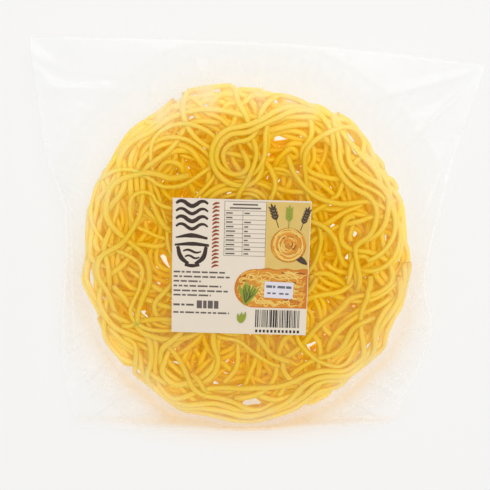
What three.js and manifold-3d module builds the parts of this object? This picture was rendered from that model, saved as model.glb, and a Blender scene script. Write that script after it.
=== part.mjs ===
// A nest of fried egg noodles in a clear sealed bag with a paper label, lying on its back.
// Millimetres, +Z up. The label faces up and its top edge faces +Y. The origin is on the table,
// under the middle of the pack.
import * as THREE from "three";
import { mergeVertices } from "three/addons/utils/BufferGeometryUtils.js";
import Module from "manifold-3d";

const wasm = await Module();
wasm.setup();

// ---- Driving dimensions ----

// The nest: a round cake of noodles with rounded shoulders, a little dished on top.
const NEST_WIDTH = 198; // along X
const NEST_LENGTH = 206; // along Y
const NEST_HEIGHT = 42;
const SHOULDER_POWER = 3.4; // 2 would be an ellipse, and more is squarer
const DISH_DEPTH = 2;
const DISH_RADIUS = 72;

// The noodles, which lie on the cake up to two deep.
const NOODLE_DIAMETER = 3.4;
const THICKNESS_RANGE = [0.88, 1.04]; // shares of that diameter
const NOODLE_SIDES = 5;
const NOODLE_STEP = 7.6; // length of one straight facet
const FIRST_LAYER = 2; // how far a noodle's middle stands above the core's skin
const CROSSING_SHARE = 1.05; // of a diameter between the middles of two crossing noodles
const SECOND_LAYER = FIRST_LAYER + NOODLE_DIAMETER * CROSSING_SHARE + 0.3; // a noodle over another
const CLIMB_SLOPE = 0.35;
const ENDS_SUNK = 3; // how far below the skin a noodle's two ends are buried
const DIVE_LENGTH = 12;

// The label, a square of paper stuck on the front of the bag, and the date sticker on it.
const LABEL = { width: 80, length: 81, thickness: 0.5, x: -3.9, y: -0.9, turn: -0.02, facets: 8 };
const STICKER = { width: 17, length: 9.9, thickness: 0.4, x: 22.5, y: -13.5, turn: -0.06, facets: 4 };
const PAPER_WAVE = 0.5; // how far the paper rises and falls over the noodles
const PAPER_WAVE_LENGTH = 62;

// The bag: two sheets of film that come down off the nest's shoulders and meet in a flat margin
// at half its height. Its outline, as (x, y) from the middle of the nest.
const BOTTOM_LEFT = [-109, -113];
const BOTTOM_RIGHT = [92, -110];
const TOP_RIGHT = [137, 115];
const TOP_LEFT = [-124, 131];
const BAG_SIDES = [
  [BOTTOM_LEFT, [-8, -114], BOTTOM_RIGHT],
  [BOTTOM_RIGHT, [115, -50], [110, -14], [121, 50], TOP_RIGHT],
  [TOP_RIGHT, [24, 127], TOP_LEFT],
  [TOP_LEFT, [-119, 62], [-110, 24], [-116, -60], BOTTOM_LEFT],
];
const SIDE_SEGMENTS = 24; // along each side
const HOLE_CLEARANCE = 1; // between the nest and the film's inner edge
const FILM_RISE = 11; // of each sheet above or below the margin at that edge
const SKIRT_REACH = 24; // from that edge to where the two sheets meet
const MARGIN_THICKNESS = 1.2;
const LEAST_MARGIN = 2; // width of the flat margin where the nest comes close to the bag's edge
const PLEATS = 23; // small radial folds round the nest
const FINE_PLEATS = 31; // these beat with the others, so that the folds come out uneven
const PLEAT_HEIGHT = 1.2;
const CORNER_CURL = 6; // the bottom left corner hangs this much and the top right one stands up
const CORNER_SHARPNESS = 4;

const GAP = 0.3; // clear space between two pieces that touch
const MIDDLE_HEIGHT = NEST_HEIGHT / 2;
const { clamp, lerp, smoothstep } = THREE.MathUtils;

// ---- Small helpers ----

// A repeatable stream of numbers from 0 to 1.
function randomStream(seed) {
  let state = seed >>> 0;
  return () => {
    state = (state + 0x6d2b79f5) >>> 0;
    let mixed = Math.imul(state ^ (state >>> 15), 1 | state);
    mixed = (mixed + Math.imul(mixed ^ (mixed >>> 7), 61 | mixed)) ^ mixed;
    return ((mixed ^ (mixed >>> 14)) >>> 0) / 4294967296;
  };
}

// A closed three.js geometry as a solid that can be joined or cut.
function toSolid(geometry) {
  const bare = geometry.clone();
  bare.deleteAttribute("normal");
  bare.deleteAttribute("uv");
  const merged = mergeVertices(bare, 1e-4);
  return new wasm.Manifold(
    new wasm.Mesh({
      numProp: 3,
      vertProperties: merged.attributes.position.array,
      triVerts: new Uint32Array(merged.index.array),
    }),
  );
}

// The solid back as a three.js geometry.
function toGeometry(solid) {
  const mesh = solid.getMesh();
  const geometry = new THREE.BufferGeometry();
  geometry.setAttribute("position", new THREE.BufferAttribute(mesh.vertProperties, 3));
  geometry.setIndex(new THREE.BufferAttribute(mesh.triVerts, 1));
  geometry.computeVertexNormals();
  return geometry;
}

// Moves every vertex of a geometry by a rule.
function reshape(geometry, rule) {
  const position = geometry.attributes.position;
  const point = new THREE.Vector3();
  for (let i = 0; i < position.count; i++) {
    rule(point.fromBufferAttribute(position, i));
    position.setXYZ(i, point.x, point.y, point.z);
  }
  geometry.computeVertexNormals();
  return geometry;
}

// ---- The nest ----

// Crossing noodles stand this far out of the core, so the core is smaller than the nest by as much.
const SKIN_DEPTH = 6;
const CORE_RADIUS = NEST_WIDTH / 2 - SKIN_DEPTH;
const CORE_STRETCH = (NEST_LENGTH / 2 - SKIN_DEPTH) / CORE_RADIUS; // along Y
const CORE_HALF_HEIGHT = NEST_HEIGHT / 2 - SKIN_DEPTH;
const PROFILE_POINTS = 13;
const CORE_SEGMENTS = 30;

// The core's outline from the middle of its top over the shoulder to the middle of its base,
// as (distance from the axis, height above the nest's middle).
function coreProfile() {
  const points = [];
  for (let i = 0; i < PROFILE_POINTS; i++) {
    const angle = (Math.PI * i) / (PROFILE_POINTS - 1);
    const across = Math.pow(Math.sin(angle), 2 / SHOULDER_POWER);
    const up = Math.sign(Math.cos(angle)) * Math.pow(Math.abs(Math.cos(angle)), 2 / SHOULDER_POWER);
    const radius = i === 0 || i === PROFILE_POINTS - 1 ? 0 : CORE_RADIUS * across;
    const dish = up > 0 ? DISH_DEPTH * Math.max(0, 1 - (radius / DISH_RADIUS) ** 2) : 0;
    points.push(new THREE.Vector2(radius, CORE_HALF_HEIGHT * up - dish));
  }
  return points;
}

function coreGeometry() {
  const core = new THREE.LatheGeometry(coreProfile().reverse(), CORE_SEGMENTS);
  core.rotateX(Math.PI / 2);
  core.scale(1, CORE_STRETCH, 1);
  core.translate(0, 0, MIDDLE_HEIGHT);
  return core;
}

// The core's skin as a track: a length along its outline and an angle round it give a place.
const skinTrack = new THREE.SplineCurve(coreProfile());
const SKIN_LENGTH = skinTrack.getLength();
const LEAST_RADIUS = 8; // keeps the sums finite at the axis, where no noodle goes

function skinPlace(along, around) {
  const share = clamp(along / SKIN_LENGTH, 0, 1);
  const spot = skinTrack.getPointAt(share);
  const run = skinTrack.getTangentAt(share);
  const cos = Math.cos(around);
  const sin = Math.sin(around);
  return {
    radius: Math.max(spot.x, LEAST_RADIUS),
    point: new THREE.Vector3(spot.x * cos, spot.x * sin * CORE_STRETCH, spot.y + MIDDLE_HEIGHT),
    normal: new THREE.Vector3(-run.y * cos, -run.y * sin, run.x),
  };
}

// Each way that the noodles run: how far along the skin they may start and may stray, in what
// direction they set off (0 is outwards), the radius and the rhythm of their bends, and their
// length. A hoop keeps to its circle round the nest.
const TOP_OUT = SKIN_LENGTH * 0.4;
const RIM_OUT = SKIN_LENGTH * 0.6;
const ALL_WAYS = [0, 2 * Math.PI];
const ROUND = [Math.PI / 2 - 0.3, Math.PI / 2 + 0.3];
const RUNS = {
  wave: { start: [40, 90], stray: [32, RIM_OUT], way: ALL_WAYS, bend: 24, rhythm: 100, length: 215 },
  curl: { start: [55, 85], stray: [36, TOP_OUT], way: ALL_WAYS, bend: 17, rhythm: 320, length: 190 },
  hoop: { start: [88, 112], stray: [82, RIM_OUT], way: ROUND, bend: 70, rhythm: 90, length: 230 },
  under: {
    start: [132, 180],
    stray: [RIM_OUT, SKIN_LENGTH - 12],
    way: ALL_WAYS,
    bend: 24,
    rhythm: 110,
    length: 215,
  },
};
const LAID = ["wave", "hoop", "curl", "wave", "under", "wave"];
const NOODLES = 30;
const TRIES = 80; // walks tried for a noodle before it is left out
const SEED = 26;
const RHYTHM_RANGE = [0.8, 1.25];
const BEND_RANGE = [0.75, 1.2];
const EDGE_TURN = 15; // radius of the bend that keeps a noodle on its part of the skin
const EDGE_WIDTH = 14;
const GOLDEN_ANGLE = Math.PI * (3 - Math.sqrt(5));
const PACE = NOODLE_STEP / 2;

// A wandering line over the skin.
function walk(run, around, random) {
  const pick = (range) => lerp(...range, random());
  let along = pick(run.start);
  let angle = around;
  let heading = pick(run.way);
  const phase = pick(ALL_WAYS);
  const rhythm = run.rhythm * pick(RHYTHM_RANGE);
  const strength = pick(BEND_RANGE) / run.bend;
  const places = [];
  for (let gone = 0; gone <= run.length; gone += PACE) {
    const place = skinPlace(along, angle);
    places.push(place);
    const outward = Math.cos(heading);
    const sideways = Math.sin(heading);
    let bend = strength * Math.cos((2 * Math.PI * gone) / rhythm + phase);
    if (run.way !== ROUND) {
      const widening = skinPlace(along + 1, angle).radius / place.radius - 1;
      bend -= widening * sideways;
    }
    const hand = Math.sign(sideways) || 1;
    if (outward > 0 && along > run.stray[1] - EDGE_WIDTH) bend = hand / EDGE_TURN;
    if (outward < 0 && along < run.stray[0] + EDGE_WIDTH) bend = -hand / EDGE_TURN;
    along += outward * PACE;
    angle += (sideways / place.radius) * PACE;
    heading += bend * PACE;
  }
  return places;
}

// How high each place of a line has to stand to clear the noodles that are there already.
function heightsNeeded(places, laid) {
  const reach = NOODLE_DIAMETER * CROSSING_SHARE;
  return places.map(({ point, normal }) => {
    let height = FIRST_LAYER;
    for (const other of laid) {
      const apart = other.clone().sub(point);
      const above = apart.dot(normal);
      const aside = Math.sqrt(Math.max(0, apart.lengthSq() - above * above));
      if (aside < reach && Math.abs(above) < 2 * reach) {
        height = Math.max(height, above + Math.sqrt(reach * reach - aside * aside));
      }
    }
    return height;
  });
}

// Lifts a line off the skin to those heights in smooth rises, with its two ends in the core.
function lift(places, needed) {
  return places.map(({ point, normal }, i) => {
    let height = FIRST_LAYER;
    needed.forEach((top, k) => {
      height = Math.max(height, top - CLIMB_SLOPE * Math.abs(i - k) * PACE);
    });
    const fromEnd = Math.min(i, places.length - 1 - i) * PACE;
    const dive = smoothstep(fromEnd, 0, DIVE_LENGTH);
    return point.clone().addScaledVector(normal, lerp(-ENDS_SUNK, height, dive));
  });
}

// One noodle: a few-sided tube along its line.
function noodleGeometry(line, thickness) {
  const path = new THREE.CatmullRomCurve3(line);
  const steps = Math.round(path.getLength() / NOODLE_STEP);
  const section = new THREE.Shape();
  for (let i = 0; i < NOODLE_SIDES; i++) {
    const angle = (2 * Math.PI * i) / NOODLE_SIDES;
    const x = (Math.cos(angle) * thickness) / 2;
    const y = (Math.sin(angle) * thickness) / 2;
    if (i) section.lineTo(x, y);
    else section.moveTo(x, y);
  }
  return new THREE.ExtrudeGeometry(section, { steps, extrudePath: path, bevelEnabled: false });
}

function nestGeometry() {
  const random = randomStream(SEED);
  const laid = [];
  const pieces = [toSolid(coreGeometry())];
  for (let n = 0; n < NOODLES; n++) {
    const run = RUNS[LAID[n % LAID.length]];
    for (let attempt = 0; attempt < TRIES; attempt++) {
      const places = walk(run, n * GOLDEN_ANGLE + random(), random);
      const needed = heightsNeeded(places, laid);
      if (Math.max(...needed) > SECOND_LAYER) continue;
      const line = lift(places, needed);
      laid.push(...line);
      const thickness = NOODLE_DIAMETER * lerp(...THICKNESS_RANGE, random());
      pieces.push(toSolid(noodleGeometry(line, thickness)));
      break;
    }
  }
  const bodies = wasm.Manifold.union(pieces).decompose();
  // Sealed hollows are filled and loose scraps dropped by keeping the largest body.
  bodies.sort((a, b) => b.volume() - a.volume());
  return toGeometry(bodies[0]);
}

// ---- The bag ----

const sideCurves = BAG_SIDES.map(
  (side) => new THREE.SplineCurve(side.map(([x, y]) => new THREE.Vector2(x, y))),
);

// How far out of the nest's middle the film's inner edge is, in the direction of a point.
function holeRadius(point) {
  const across = point.x / (NEST_WIDTH / 2 + HOLE_CLEARANCE);
  const along = point.y / (NEST_LENGTH / 2 + HOLE_CLEARANCE);
  return point.length() / Math.hypot(across, along);
}

// The bag is a ring round the nest. Its section is first drawn with places out from 0, the inner
// edge, over 1, where the sheets meet, to 2, the bag's edge, one row for each sheet.
function bagGeometry() {
  const stations = [0, 0.4, 1, 1.5, 2];
  const lower = stations.map((out) => new THREE.Vector2(1 + out, -1));
  const upper = stations.map((out) => new THREE.Vector2(1 + out, 1)).reverse();
  const ring = new THREE.LatheGeometry([...lower, ...upper, lower[0]], 4 * SIDE_SEGMENTS);
  ring.rotateX(Math.PI / 2);
  return reshape(ring, (point) => {
    const turn = Math.atan2(point.x, -point.y);
    const sheet = point.z;
    const out = Math.hypot(point.x, point.y) - 1;
    const quarters = ((2 * turn) / Math.PI + 4) % 4;
    const side = Math.floor(quarters);
    const edge = sideCurves[side].getPointAt(quarters - side);
    const inner = holeRadius(edge);
    const reach = Math.min(SKIRT_REACH, edge.length() - inner - LEAST_MARGIN);
    const flat = edge.length() - inner - reach;
    const radius = inner + reach * Math.min(out, 1) + flat * Math.max(out - 1, 0);
    const rise = FILM_RISE * Math.max(0, 1 - out) ** 2;
    const pleat = Math.cos(PLEATS * turn) + Math.cos(FINE_PLEATS * turn + sheet);
    const pleats = (PLEAT_HEIGHT / 2) * pleat * Math.min(rise, 1);
    const toCorner = Math.abs(2 * (quarters - side) - 1) ** CORNER_SHARPNESS;
    const curl = CORNER_CURL * toCorner * Math.cos(turn) * (out / 2) ** 2;
    point.set(edge.x, edge.y, 0).setLength(radius);
    point.z = MIDDLE_HEIGHT + sheet * (MARGIN_THICKNESS / 2 + rise + pleats) - curl;
  });
}

// ---- The label and the date sticker ----

// How far the paper stands above its own lowest places, at a point of the label.
function paperRise(x, y) {
  const across = Math.cos((2 * Math.PI * x) / PAPER_WAVE_LENGTH + 1);
  const along = Math.cos((2 * Math.PI * y) / PAPER_WAVE_LENGTH);
  return (PAPER_WAVE * (2 + across + along)) / 4;
}

// A sheet of paper that follows the label's waves, with its middle at the given place.
function paperGeometry({ width, length, thickness, turn, facets }, x, y, base) {
  const sheet = new THREE.BoxGeometry(width, length, thickness, facets, facets, 1);
  sheet.rotateZ(turn);
  sheet.translate(x, y, base + thickness / 2);
  return reshape(sheet, (point) => {
    point.z += paperRise(point.x, point.y);
  });
}

// ---- The pack ----

function piece(name, geometry, color, roughness) {
  const material = new THREE.MeshStandardMaterial({ color, roughness, metalness: 0 });
  const mesh = new THREE.Mesh(geometry, material);
  mesh.name = name;
  return mesh;
}

const labelBase = NEST_HEIGHT + GAP;
const stickerBase = labelBase + LABEL.thickness + GAP;

const pack = new THREE.Group();
pack.add(
  piece("noodle_nest", nestGeometry(), 0xf0bf3c, 0.55),
  piece("bag", bagGeometry(), 0xf4f3ef, 0.15),
  piece("label", paperGeometry(LABEL, LABEL.x, LABEL.y, labelBase), 0xeadfd0, 0.6),
  piece(
    "date_sticker",
    paperGeometry(STICKER, LABEL.x + STICKER.x, LABEL.y + STICKER.y, stickerBase),
    0xe4e8f0,
    0.6,
  ),
);

// The pack's box is centred on the origin, and its lowest point is on the table.
const box = new THREE.Box3().setFromObject(pack, true);
const middle = box.getCenter(new THREE.Vector3());
pack.position.set(-middle.x, -middle.y, -box.min.z);

export default pack;
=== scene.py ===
# %% [markdown]
# # A nest of fried egg noodles in a clear bag
# The real thing is a round cake of thin yellow noodles, about 200 mm across and 42 mm thick. It was
# steamed, coiled by hand and fried stiff, and it lies in a flat bag of clear film with a paper label.
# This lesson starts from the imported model, which fixes every size and place. It then makes the real
# noodles, the film, the paper and its print, and lights them as a bright studio does.

# %% Load the fixed frame
import math

import bmesh
import bpy
import numpy as np
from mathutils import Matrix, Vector


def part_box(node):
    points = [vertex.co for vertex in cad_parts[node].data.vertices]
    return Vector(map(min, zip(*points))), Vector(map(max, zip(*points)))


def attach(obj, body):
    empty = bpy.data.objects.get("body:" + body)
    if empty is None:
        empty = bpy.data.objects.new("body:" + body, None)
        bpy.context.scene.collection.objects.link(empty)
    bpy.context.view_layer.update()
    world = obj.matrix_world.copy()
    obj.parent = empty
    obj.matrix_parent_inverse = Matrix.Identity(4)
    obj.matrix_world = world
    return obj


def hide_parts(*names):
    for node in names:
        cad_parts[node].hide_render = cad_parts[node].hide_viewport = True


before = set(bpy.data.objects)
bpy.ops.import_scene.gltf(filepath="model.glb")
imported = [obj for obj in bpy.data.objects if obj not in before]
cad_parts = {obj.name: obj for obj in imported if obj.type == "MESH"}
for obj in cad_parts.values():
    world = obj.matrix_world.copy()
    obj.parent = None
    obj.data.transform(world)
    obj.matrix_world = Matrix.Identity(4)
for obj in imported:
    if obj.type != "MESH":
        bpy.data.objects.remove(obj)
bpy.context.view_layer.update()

# %% [markdown]
# Noodles are thin, so the sums are easier in millimetres measured from the middle of the nest.
# Every finished mesh is turned into metres in one place, by `finish_piece` below.

# %% The nest's own middle and half sizes, in millimetres
MM = 0.001
FILM_SPACE = 0.35  # kept free over the nest for its film
FACET_LOSS = (2.3, 3.4)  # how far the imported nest's flat facets cut inside its uneven outline
LABEL_X, LABEL_Y = -3.9, -0.9  # the label's middle, from the nest's
nest_low, nest_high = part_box("noodle_nest")
label_low, label_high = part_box("label")
nest_middle = (label_low + label_high) / 2 - Vector((LABEL_X, LABEL_Y, 0)) * MM
nest_middle.z = (nest_low.z + nest_high.z) / 2
HALF_X, HALF_Y, HALF_Z = ((nest_high - nest_low) / 2 / MM)[:]
HALF_X, HALF_Y, HALF_Z = HALF_X + FACET_LOSS[0], HALF_Y + FACET_LOSS[1], HALF_Z - FILM_SPACE
print("nest half sizes:", round(HALF_X, 1), round(HALF_Y, 1), round(HALF_Z, 1), "mm")


# %% [markdown]
# A few small helpers serve the whole script. A colour is written as the sRGB hex value that a
# colour picker gives, and Blender wants it linear. A node is added with its settings and its links
# in one call, and those that several materials need have a function of their own. A mesh's points
# are read and written as one array, which is far quicker than one by one. A finished mesh is moved
# to its place and hung on the frame.

# %% Colours and nodes
def linear(hex_colour):
    """The linear red, green, blue and alpha of an sRGB colour such as F2C33C."""
    shares = [int(hex_colour[i : i + 2], 16) / 255 for i in (0, 2, 4)]
    return [s / 12.92 if s <= 0.04045 else ((s + 0.055) / 1.055) ** 2.4 for s in shares] + [1.0]


def add_node(tree, kind, settings=None, **inputs):
    """Adds a node. Its inputs go by name, or by number as n0, n1 and so on.

    Each is a value, or the output socket of another node, which is then linked to it.
    """
    node = tree.nodes.new(kind)
    for name, value in (settings or {}).items():
        setattr(node, name, value)
    for name, value in inputs.items():
        numbered = name[0] == "n" and name[1:].isdigit()
        socket = node.inputs[int(name[1:]) if numbered else name.replace("_", " ")]
        if isinstance(value, bpy.types.NodeSocket):
            tree.links.new(value, socket)
        else:
            socket.default_value = value
    return node


def start_material(name, **shader_inputs):
    """A material with one Principled shader whose constant inputs are set."""
    material = bpy.data.materials.new(name)
    material.use_nodes = True
    tree = material.node_tree
    tree.nodes.clear()
    shader = add_node(tree, "ShaderNodeBsdfPrincipled", **shader_inputs)
    add_node(tree, "ShaderNodeOutputMaterial", Surface=shader.outputs[0])
    return material, tree, shader


# %% Nodes that several materials need
def noise(tree, size, detail, **inputs):
    """A cloudy pattern from 0 to 1, with patches of about this size in millimetres."""
    place = add_node(tree, "ShaderNodeTexCoord").outputs["Object"]
    inputs |= {"Vector": place, "Scale": 1 / (size * MM), "Detail": detail}
    return add_node(tree, "ShaderNodeTexNoise", **inputs).outputs[0]


def value_of(tree, name):
    """The number that each point of the mesh has under this name."""
    return add_node(tree, "ShaderNodeAttribute", {"attribute_name": name}).outputs["Fac"]


def calculate(tree, operation, *numbers, **settings):
    """The result of an operation on numbers, such as MULTIPLY."""
    inputs = {f"n{i}": number for i, number in enumerate(numbers)}
    return add_node(tree, "ShaderNodeMath", {"operation": operation, **settings}, **inputs).outputs[0]


def rescale(tree, value, *ends, **settings):
    """A value carried from one range to another. The ends are those of the first, then the second."""
    inputs = {f"n{i}": end for i, end in enumerate(ends, 1)}
    return add_node(tree, "ShaderNodeMapRange", settings, n0=value, **inputs).outputs[0]


def mix(tree, share, first, second, blend="MIX"):
    """The first colour with a share of the second in it."""
    settings = {"data_type": "RGBA", "blend_type": blend}
    return add_node(tree, "ShaderNodeMix", settings, n0=share, n6=first, n7=second).outputs[2]


def roughen(tree, shader, height, strength, distance):
    """Makes a surface look uneven where a pattern goes up and down."""
    bump = add_node(tree, "ShaderNodeBump", Strength=strength, Distance=distance, Height=height)
    tree.links.new(bump.outputs[0], shader.inputs["Normal"])


# %% A mesh's points and values as arrays
def read_points(mesh):
    """The mesh's points as rows of x, y, z."""
    points = np.empty(len(mesh.vertices) * 3, np.float32)
    mesh.vertices.foreach_get("co", points)
    return points.reshape(-1, 3)


def write_points(mesh, points):
    """Moves the mesh's points to the places in these rows of x, y, z."""
    mesh.vertices.foreach_set("co", points.astype(np.float32).ravel())


def write_value(mesh, name, values):
    """Gives every point of the mesh a number that its material can read."""
    layer = mesh.attributes.new(name, "FLOAT", "POINT")
    layer.data.foreach_set("value", values.astype(np.float32))


# %% Meshes from a bmesh and from a curve
def mesh_from(shape, name):
    """A bmesh as a mesh with its faces pointing out."""
    bmesh.ops.recalc_face_normals(shape, faces=shape.faces)
    mesh = bpy.data.meshes.new(name)
    shape.to_mesh(mesh)
    shape.free()
    return mesh


def bevelled_curve(name, resolution):
    """An empty curve whose bevel has a radius of 1, so a point's radius is a real size."""
    curve = bpy.data.curves.new(name, "CURVE")
    curve.dimensions = "3D"
    curve.bevel_depth = 1.0
    curve.bevel_resolution = resolution
    return curve


def mesh_of_curve(curve):
    """The surface that a curve's bevel sweeps, as a mesh."""
    drawn = bpy.data.objects.new(curve.name, curve)
    mesh = bpy.data.meshes.new_from_object(drawn)
    bpy.data.objects.remove(drawn)
    return mesh


# %% Finished pieces
def finish_piece(name, mesh, material, replaced, smooth=True):
    """Places a mesh made in millimetres round the nest's middle, and hangs it on the frame."""
    write_points(mesh, read_points(mesh) * MM + np.array(nest_middle))
    mesh.polygons.foreach_set("use_smooth", np.full(len(mesh.polygons), smooth))
    mesh.materials.clear()
    mesh.materials.append(material)
    mesh.update()
    piece = bpy.data.objects.new(name, mesh)
    bpy.context.scene.collection.objects.link(piece)
    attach(piece, "root")
    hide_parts(replaced)
    triangles = sum(len(face.vertices) - 2 for face in mesh.polygons)
    print(f"{name}: {triangles} triangles")


# %% [markdown]
# ## The noodles
# The nest is a flat round cake with rounded shoulders, slightly dished where it was pressed. In
# plan it is an ellipse. Its height at a place falls off with a high power of the distance from the
# middle, which gives the full shoulders. A share of 1 is the rim.

# %% The cake that holds the noodles
SHOULDER_POWER = 3.4
DISH_DEPTH = 2.0
DISH_RADIUS = 72.0
NOODLE_RADIUS = 1.7
REACH_X = HALF_X - NOODLE_RADIUS
REACH_Y = HALF_Y - NOODLE_RADIUS
REACH_Z = HALF_Z - NOODLE_RADIUS
# The outline bulges and dips as a hand-coiled one does. Each wave has its count round the nest, its
# size as a share of the way to the rim, and its turn in radians.
OUTLINE_WAVES = [
    (1, 0.014, 1.9), (3, 0.007, 0.4), (5, 0.007, 2.0),
    (8, 0.006, 4.0), (13, 0.008, 1.0), (19, 0.005, 0.5),
]


def outline_share(x, y):
    """How far the uneven outline reaches in the direction of a place, as a share of the even one."""
    angle = np.arctan2(y, x)
    return 1 + sum(size * np.cos(count * angle + turn) for count, size, turn in OUTLINE_WAVES)


def rim_share(x, y):
    """How far out a place is: 0 at the nest's middle and 1 at its rim."""
    return np.hypot(x / REACH_X, y / REACH_Y) / outline_share(x, y)


def fullness(share):
    """How high the cake still is at a share of the way to its rim: 1 is its full height."""
    return np.clip(1 - share**SHOULDER_POWER, 0, 1) ** (1 / SHOULDER_POWER)


def noodle_levels(x, y):
    """The lowest and the highest place that a noodle's middle may have there."""
    height = REACH_Z * fullness(rim_share(x, y))
    dish = DISH_DEPTH * np.clip(1 - (x * x + y * y) / DISH_RADIUS**2, 0, 1)
    return -height, height - dish


print("at the nest's middle a noodle may lie from %.1f to %.1f mm" % noodle_levels(0, 0))

# %% [markdown]
# A noodle could be drawn by hand as a curve, but the nest has over a hundred of them. So each one
# walks: it steps 2 mm at a time, and its heading swings to and fro in two waves of its own while
# it slowly drifts. Now and then it makes a loop. When it comes near the rim it turns back in, and
# a hoop follows the rim instead. The draws are seeded, so each run gives the same nest.

# %% How each kind of noodle bends
STEP = 2.0
TIGHTEST_BEND = 7.0  # radius of a hairpin
# Each swing is (least angle, most angle, shortest wave, longest wave), in radians and mm. The
# drift is how far the heading strays, in radians over 100 mm, and loops come so far apart.
KINDS = {
    "wave": {"swings": [(0.5, 1.0, 60, 110), (0.15, 0.45, 32, 50)], "drift": 0.9, "loops": 600},
    "curl": {"swings": [(0.3, 0.6, 50, 90), (0.1, 0.3, 30, 45)], "drift": 1.2, "loops": 150},
    "run": {"swings": [(0.3, 0.6, 80, 140), (0.1, 0.3, 36, 60)], "drift": 0.5, "loops": 2000},
    "hoop": {"swings": [(0.15, 0.35, 50, 100), (0.05, 0.2, 30, 45)], "drift": 0, "loops": 5000},
}
LAID = ["wave", "curl", "wave", "hoop", "wave", "run", "wave", "curl", "hoop", "run"]
HOOP_STARTS = (0.84, 0.97)  # the share of the way to the rim at which a hoop starts
START_AREA = 0.92  # the share of the nest's area in which the others start
ANY_TURN = (0, 6.3)  # where in its round a wave may start, in radians
UNEVEN, UNEVEN_LENGTHS = 0.5, (30, 60)  # how a swing's rhythm runs ahead and lags behind
DRIFT_LENGTH = 45.0  # over which the drift changes
LOOP_RADII = (9, 20)
LOOP_TURNS = (0.5, 1.15)  # how much of a full turn a loop makes
LOOP_OVAL = 0.4
LOOP_SWING = 0.2  # the share of its swings that a noodle keeps in a loop
LOOP_SPACING = (0.6, 1.6)  # times the kind's own distance between loops
random = np.random.default_rng(12)


def start_of_walk(kind):
    """A starting point and a heading: a hoop starts along the rim, the others anywhere."""
    around = random.uniform(0, 2 * math.pi)
    if kind == "hoop":
        share = random.uniform(*HOOP_STARTS)
        heading = around + random.choice([-1, 1]) * math.pi / 2
    else:
        share = math.sqrt(random.uniform(0, START_AREA))
        heading = random.uniform(0, 2 * math.pi)
    return REACH_X * share * math.cos(around), REACH_Y * share * math.sin(around), heading


def swinging_bends(kind, count):
    """The bend at each step, in 1/mm, from the swings, the drift and the loops."""
    rule = KINDS[kind]
    gone = np.arange(count) * STEP
    bends = np.zeros(count)
    for least, most, shortest, longest in rule["swings"]:
        rhythm = 2 * np.pi / random.uniform(shortest, longest)
        uneven = UNEVEN * np.sin(gone / random.uniform(*UNEVEN_LENGTHS) + random.uniform(*ANY_TURN))
        swing = random.uniform(least, most) * rhythm
        bends += swing * np.cos(rhythm * gone + uneven + random.uniform(*ANY_TURN))
    knots = random.normal(0, 1, count // int(DRIFT_LENGTH / STEP) + 2)
    drift = np.interp(gone / DRIFT_LENGTH, np.arange(len(knots)), knots)
    bends += rule["drift"] / math.sqrt(100 * DRIFT_LENGTH) * drift
    start = random.uniform(0, rule["loops"])
    while start < gone[-1]:
        radius = random.uniform(*LOOP_RADII)
        within = (gone >= start) & (gone < start + random.uniform(*LOOP_TURNS) * 2 * math.pi * radius)
        oval = 1 + LOOP_OVAL * np.sin(2 * (gone[within] - start) / radius + random.uniform(*ANY_TURN))
        bends[within] = random.choice([-1, 1]) / radius * oval + LOOP_SWING * bends[within]
        start += rule["loops"] * random.uniform(*LOOP_SPACING)
    average = np.ones(5) / 5  # of five steps
    return np.convolve(np.clip(bends, -1 / TIGHTEST_BEND, 1 / TIGHTEST_BEND), average, "same")


# %% One walk
RIM_BEND = 1 / 98  # a hoop bends with the rim
HOOP_LANES = (0.80, 0.95)  # the share of the way to the rim that a hoop follows
LANE_SWAY, LANE_SWAY_LENGTH = 0.05, 130
STEER_BACK, STEER_IN = 0.05, 0.35  # how hard its heading and its place bring a hoop to its lane
TURN_RADII = (8, 24)
SPARE_WAY = (0, 30)  # mm from the rim at which a noodle has turned
HEADED_IN = (0.35, 0.95)  # how steeply a noodle heads inward when it stops turning


def next_turn():
    """The radius of a noodle's next turn near the rim, and the way that it leaves to the rim."""
    return random.uniform(*TURN_RADII), random.uniform(*SPARE_WAY)


def walk(kind, length):
    """The points of one wandering line in plan, and the heading at each."""
    x, y, heading = start_of_walk(kind)
    count = int(length / STEP)
    bends = swinging_bends(kind, count)
    lane, phase = random.uniform(*HOOP_LANES), random.uniform(*ANY_TURN)
    (radius, spare), turning = next_turn(), 0
    line = np.empty((count, 3))
    for i in range(count):
        line[i] = x, y, heading
        share = float(rim_share(x, y))
        normal_x, normal_y = x / REACH_X**2, y / REACH_Y**2
        size = math.hypot(normal_x, normal_y) + 1e-9
        forward_x, forward_y = math.cos(heading), math.sin(heading)
        outward = (forward_x * normal_x + forward_y * normal_y) / size
        inward_side = 1 if forward_x * normal_y < forward_y * normal_x else -1
        needed = spare + radius * (1 - math.sqrt(1 - min(abs(outward), 1) ** 2))
        bend = bends[i]
        if kind == "hoop":
            wanted = lane + LANE_SWAY * math.sin(2 * math.pi * i * STEP / LANE_SWAY_LENGTH + phase)
            bend += inward_side * (RIM_BEND + STEER_BACK * outward + STEER_IN * (share - wanted))
        elif turning:
            bend = turning / radius
            if outward < leaving:
                (radius, spare), turning = next_turn(), 0
        elif outward > 0 and (1 - share) * REACH_X < needed:
            turning, leaving = inward_side, -random.uniform(*HEADED_IN)
        heading += min(max(bend, -1 / TIGHTEST_BEND), 1 / TIGHTEST_BEND) * STEP
        x += math.cos(heading) * STEP
        y += math.sin(heading) * STEP
    return line


# %% [markdown]
# Noodles leave the cutter side by side, and in the nest one to five of them often still run
# together. So one walk carries a bundle. The bundle keeps a level in the cake, and each strand in
# it starts, ends and rises a little differently.

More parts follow.
